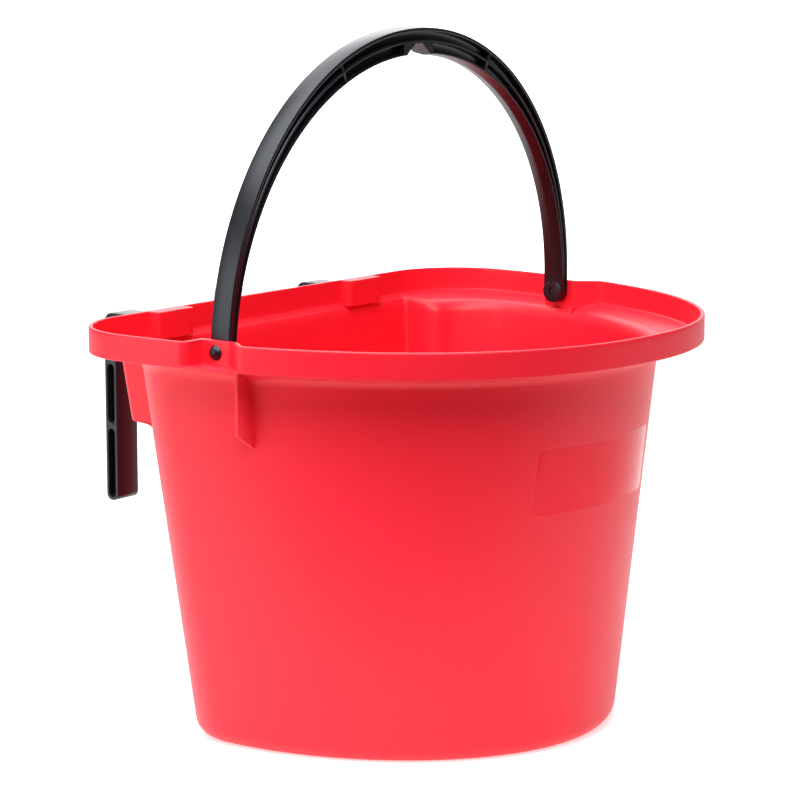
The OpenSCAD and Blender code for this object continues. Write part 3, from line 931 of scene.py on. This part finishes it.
pocket_mid = HOOK_BACK - HOOK_LEG_T / 2
bridge_z = foot_z + BRIDGE_SHARE * HOOK_LEG
slot_top = foot_z + SLOT_TOP_SHARE * HOOK_LEG
for side, name in ((-1, "hook_left"), (1, "hook_right")):
    hook = slab(name + "_moulding", hook_outline, 0, side * BOSS_X - HOOK_HALF_W,
                side * BOSS_X + HOOK_HALF_W)
    for low, high in ((foot_z + POCKET_RIM, bridge_z - BRIDGE_HALF),
                      (bridge_z + BRIDGE_HALF, slot_top)):
        slot_outline = arc(pocket_mid, high - pocket_half, pocket_half, 0, 180, 12)
        slot_outline += arc(pocket_mid, low + pocket_half, pocket_half, 180, 360, 12)
        for face in (-1, 1):
            ends = sorted((side * BOSS_X + face * HOOK_WEB / 2,
                           side * BOSS_X + face * (HOOK_HALF_W + 1)))
            combine(hook, slab("slot", slot_outline, 0, ends[0], ends[1]), "DIFFERENCE")
    soften(hook, HOOK_EDGE_R, 2, 50)
    finish_piece(hook, black)
    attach(hook, "root")
    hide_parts(name)

# ---------------------------------------------------------------------------
# Studio
# A white floor under white studio light, bright enough that the floor shows no horizon.
# ---------------------------------------------------------------------------
bpy.ops.object.select_all(action="DESELECT")
bpy.ops.mesh.primitive_plane_add(size=1)
floor = bpy.context.object
floor.name = "studio_floor"
VIEW_TURN = -0.9073
VIEW_DOWN = 0.1704
FLOOR_W = 5.0
FLOOR_NEAR = 0.4
FLOOR_FAR = 2.2
for vertex in floor.data.vertices:
    along = FLOOR_FAR if vertex.co.y > 0 else -FLOOR_NEAR
    flat = Vector((vertex.co.x * FLOOR_W, along, 0))
    vertex.co = Matrix.Rotation(VIEW_TURN, 3, "Z") @ flat
# White acrylic of a light table, lit a little from below
white, tree = new_material("white_acrylic")
surface = add_node(tree, "ShaderNodeBsdfPrincipled", None, Base_Color=linear("D8D8D8"),
                   Roughness=0.8, Emission_Color=(1.0, 1.0, 1.0, 1.0), Emission_Strength=0.6)
add_node(tree, "ShaderNodeOutputMaterial", None, Surface=surface.outputs[0])
floor.data.materials.append(white)

# The studio's far side is a bright white wall, and its near side is much dimmer. The wall
# fades in between two cosines, near enough, of the angle away from its middle.
WALL_MIDDLE = (0.78, 0.6, 0.0)
WALL_EDGE = 0.78
WALL_FULL = 0.95
DIM_SIDE = 0.1
BRIGHT_SIDE = 2.2
world = bpy.data.worlds.new("white_studio")
bpy.context.scene.world = world
world.use_nodes = True
tree = world.node_tree
tree.nodes.clear()
coords = add_node(tree, "ShaderNodeTexCoord")
facing = add_node(tree, "ShaderNodeVectorMath", {"operation": "DOT_PRODUCT"},
                  _0=coords.outputs["Generated"], _1=WALL_MIDDLE)
strength = add_node(tree, "ShaderNodeMapRange", None, _0=facing.outputs["Value"], _1=WALL_EDGE,
                    _2=WALL_FULL, _3=DIM_SIDE, _4=BRIGHT_SIDE)
sky = add_node(tree, "ShaderNodeBackground", None, Color=(1.0, 1.0, 1.0, 1.0),
               Strength=strength.outputs[0])
add_node(tree, "ShaderNodeOutputWorld", None, Surface=sky.outputs[0])

BUCKET_MIDDLE = (0, 0, 0.2)


def softbox(name, place, size, power):
    """A rectangular light that faces the middle of the bucket."""
    lamp = bpy.data.lights.new(name, "AREA")
    lamp.shape = "RECTANGLE"
    lamp.size, lamp.size_y = size
    lamp.energy = power
    made = bpy.data.objects.new(name, lamp)
    bpy.context.scene.collection.objects.link(made)
    made.location = place
    towards = Vector(BUCKET_MIDDLE) - Vector(place)
    made.rotation_euler = towards.to_track_quat("-Z", "Y").to_euler()


softbox("light_above", (-0.6, 0.3, 1.8), (1.7, 1.7), 42)
softbox("light_back", (0.9, 0.9, 1.5), (1.5, 1.5), 18)
softbox("light_front", (-0.9, -0.9, 1.7), (1.0, 1.0), 30)
softbox("light_left", (-1.7, 0.9, 0.5), (1.2, 1.0), 11)

lens = bpy.data.cameras.new("camera")
lens.lens = 135.37
lens.sensor_width = 36
camera = bpy.data.objects.new("camera", lens)
bpy.context.scene.collection.objects.link(camera)
camera.location = (-1.6113, -1.2588, 0.5689)
camera.rotation_euler = (math.pi / 2 - VIEW_DOWN, 0, VIEW_TURN)
bpy.context.scene.camera = camera
bpy.context.scene.view_settings.view_transform = "Standard"
